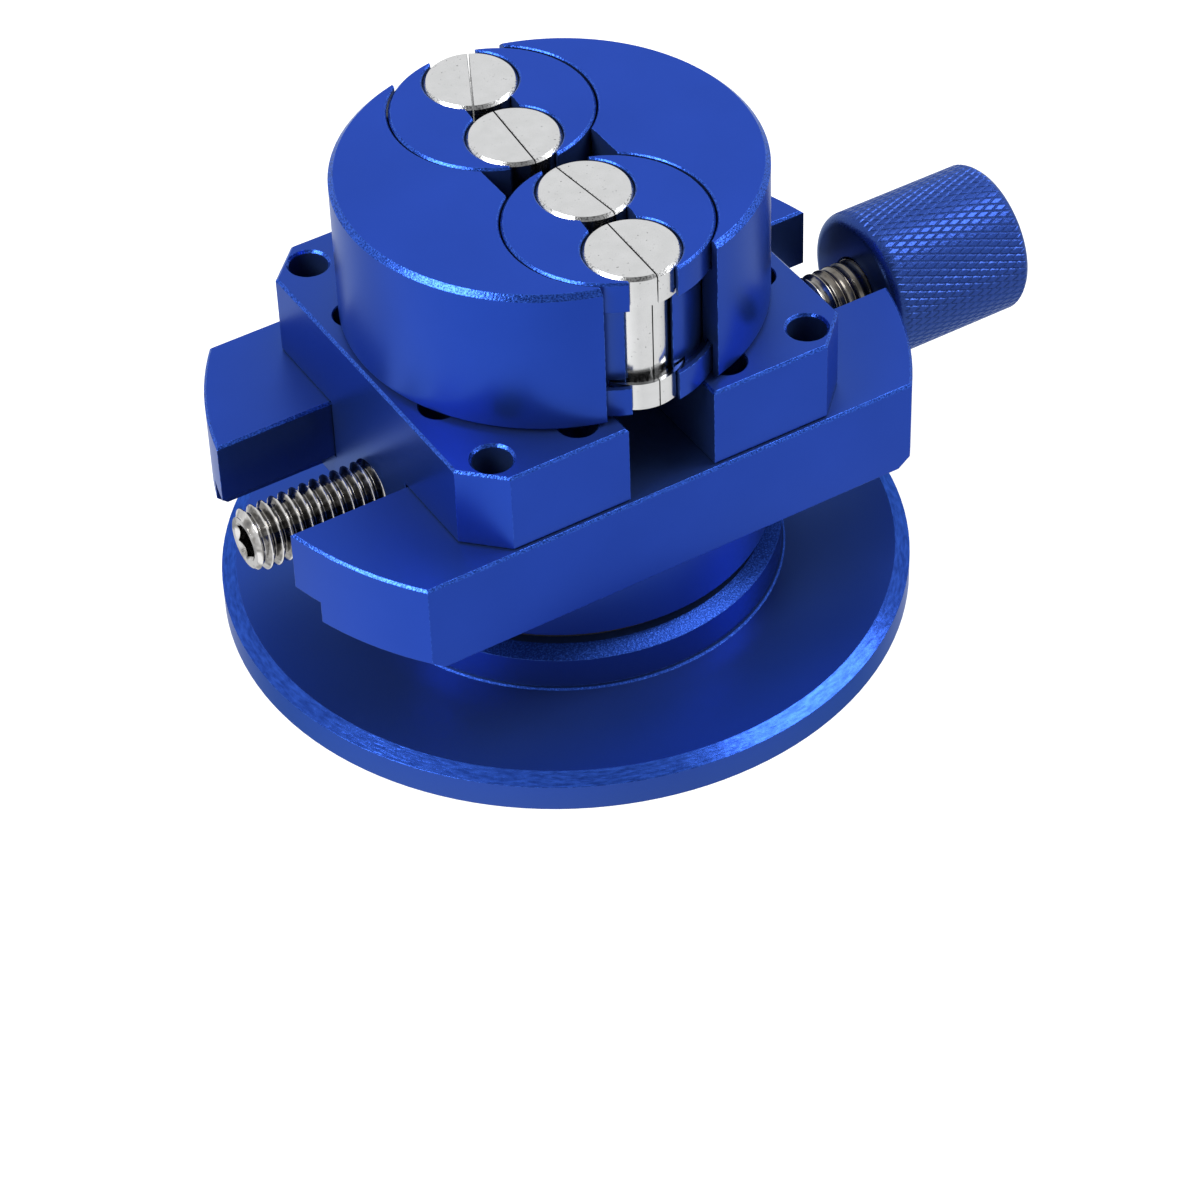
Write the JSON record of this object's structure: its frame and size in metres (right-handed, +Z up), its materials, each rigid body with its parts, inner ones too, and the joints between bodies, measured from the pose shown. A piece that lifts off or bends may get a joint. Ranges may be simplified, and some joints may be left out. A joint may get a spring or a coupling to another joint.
{
  "type": "swivel table vise",
  "caption": "Small swivel bench vise with a round base, a slotted bed, a centring screw with knob, and jaws of nested turning half discs.",
  "frame": {"origin": "centre of the underside of the base, on the swivel axis", "axes": "+Z up along the swivel axis, +X along the bed towards the knob, +Y to the rear pads"},
  "size_m": [0.1343, 0.108, 0.079],
  "materials": {
    "blue_anodised": "blue anodised, fine bead-blasted satin",
    "pad_steel": "satin faces with polished edges",
    "bright_steel": "bright turned",
    "dark_steel": "blackened",
    "black_plastic": "matt moulded"
  },
  "bodies": {
    "base": {"base_plate": "blue_anodised", "thrust_washer": "black_plastic", "disc_spring": "dark_steel"},
    "bed": {"bed": "blue_anodised", "pivot_bolt": "dark_steel", "pivot_washer": "bright_steel", "screw_yoke": "bright_steel", "yoke_screws": "dark_steel"},
    "screw": {"lead_screw": "bright_steel", "knob": "blue_anodised", "knob_set_screw": "dark_steel"},
    "carriage_left": {"carriage_left": "blue_anodised", "jaw_left": "blue_anodised", "jaw_screws_left": "dark_steel"},
    "carriage_right": {"carriage_right": "blue_anodised", "jaw_right": "blue_anodised", "jaw_screws_right": "dark_steel"},
    "rocker_left_rear": {"rocker_left_rear": "blue_anodised"},
    "rocker_left_front": {"rocker_left_front": "blue_anodised"},
    "pad_left_1": {"pad_left_1": "pad_steel"},
    "pad_left_2": {"pad_left_2": "pad_steel"},
    "pad_left_3": {"pad_left_3": "pad_steel"},
    "pad_left_4": {"pad_left_4": "pad_steel"},
    "rocker_right_rear": {"rocker_right_rear": "blue_anodised"},
    "rocker_right_front": {"rocker_right_front": "blue_anodised"},
    "pad_right_1": {"pad_right_1": "pad_steel"},
    "pad_right_2": {"pad_right_2": "pad_steel"},
    "pad_right_3": {"pad_right_3": "pad_steel"},
    "pad_right_4": {"pad_right_4": "pad_steel"}
  },
  "joints": [
    {"name": "swivel", "type": "hinge", "parent": "base", "child": "bed", "pos_m": [0, 0, 0.0137], "axis": [0, 0, 1], "continuous": true},
    {"name": "screw_turn", "type": "hinge", "parent": "bed", "child": "screw", "pos_m": [0, 0, 0.0317], "axis": [-1, 0, 0], "range_deg": [0, 4114.3]},
    {"name": "slide_left", "type": "slide", "parent": "bed", "child": "carriage_left", "axis": [-1, 0, 0], "range_m": [0, 0.02]},
    {"name": "slide_right", "type": "slide", "parent": "bed", "child": "carriage_right", "axis": [1, 0, 0], "range_m": [0, 0.02]},
    {"name": "rocker_left_rear_turn", "type": "hinge", "parent": "carriage_left", "child": "rocker_left_rear", "pos_m": [0, 0.01625, 0.06685], "axis": [0, 0, 1], "range_deg": [-13.5, 26.5]},
    {"name": "rocker_left_front_turn", "type": "hinge", "parent": "carriage_left", "child": "rocker_left_front", "pos_m": [0, -0.01625, 0.06685], "axis": [0, 0, 1], "range_deg": [-13.5, 26.5]},
    {"name": "pad_left_1_turn", "type": "hinge", "parent": "rocker_left_rear", "child": "pad_left_1", "pos_m": [0.00089, 0.02405, 0.06685], "axis": [0, 0, 1], "range_deg": [-14.5, 55.5]},
    {"name": "pad_left_2_turn", "type": "hinge", "parent": "rocker_left_rear", "child": "pad_left_2", "pos_m": [-0.00089, 0.00845, 0.06685], "axis": [0, 0, 1], "range_deg": [-36.5, 33.5]},
    {"name": "pad_left_3_turn", "type": "hinge", "parent": "rocker_left_front", "child": "pad_left_3", "pos_m": [0.00089, -0.00845, 0.06685], "axis": [0, 0, 1], "range_deg": [-47, 23]},
    {"name": "pad_left_4_turn", "type": "hinge", "parent": "rocker_left_front", "child": "pad_left_4", "pos_m": [-0.00089, -0.02405, 0.06685], "axis": [0, 0, 1], "range_deg": [-39.5, 30.5]},
    {"name": "rocker_right_rear_turn", "type": "hinge", "parent": "carriage_right", "child": "rocker_right_rear", "pos_m": [0, 0.01625, 0.06685], "axis": [0, 0, 1], "range_deg": [-13.5, 26.5]},
    {"name": "rocker_right_front_turn", "type": "hinge", "parent": "carriage_right", "child": "rocker_right_front", "pos_m": [0, -0.01625, 0.06685], "axis": [0, 0, 1], "range_deg": [-13.5, 26.5]},
    {"name": "pad_right_1_turn", "type": "hinge", "parent": "rocker_right_rear", "child": "pad_right_1", "pos_m": [0.00089, 0.02405, 0.06685], "axis": [0, 0, 1], "range_deg": [-14.5, 55.5]},
    {"name": "pad_right_2_turn", "type": "hinge", "parent": "rocker_right_rear", "child": "pad_right_2", "pos_m": [-0.00089, 0.00845, 0.06685], "axis": [0, 0, 1], "range_deg": [-36.5, 33.5]},
    {"name": "pad_right_3_turn", "type": "hinge", "parent": "rocker_right_front", "child": "pad_right_3", "pos_m": [0.00089, -0.00845, 0.06685], "axis": [0, 0, 1], "range_deg": [-47, 23]},
    {"name": "pad_right_4_turn", "type": "hinge", "parent": "rocker_right_front", "child": "pad_right_4", "pos_m": [-0.00089, -0.02405, 0.06685], "axis": [0, 0, 1], "range_deg": [-39.5, 30.5]}
  ],
  "couplings": [
    {"joint": "slide_right", "follows": "slide_left", "ratio": 1},
    {"joint": "screw_turn", "follows": "slide_left", "rad_per_m": 3590.4},
    {"joint": "rocker_right_rear_turn", "follows": "rocker_left_rear_turn", "ratio": 1},
    {"joint": "rocker_right_front_turn", "follows": "rocker_left_front_turn", "ratio": 1},
    {"joint": "pad_right_1_turn", "follows": "pad_left_1_turn", "ratio": 1},
    {"joint": "pad_right_2_turn", "follows": "pad_left_2_turn", "ratio": 1},
    {"joint": "pad_right_3_turn", "follows": "pad_left_3_turn", "ratio": 1},
    {"joint": "pad_right_4_turn", "follows": "pad_left_4_turn", "ratio": 1}
  ]
}
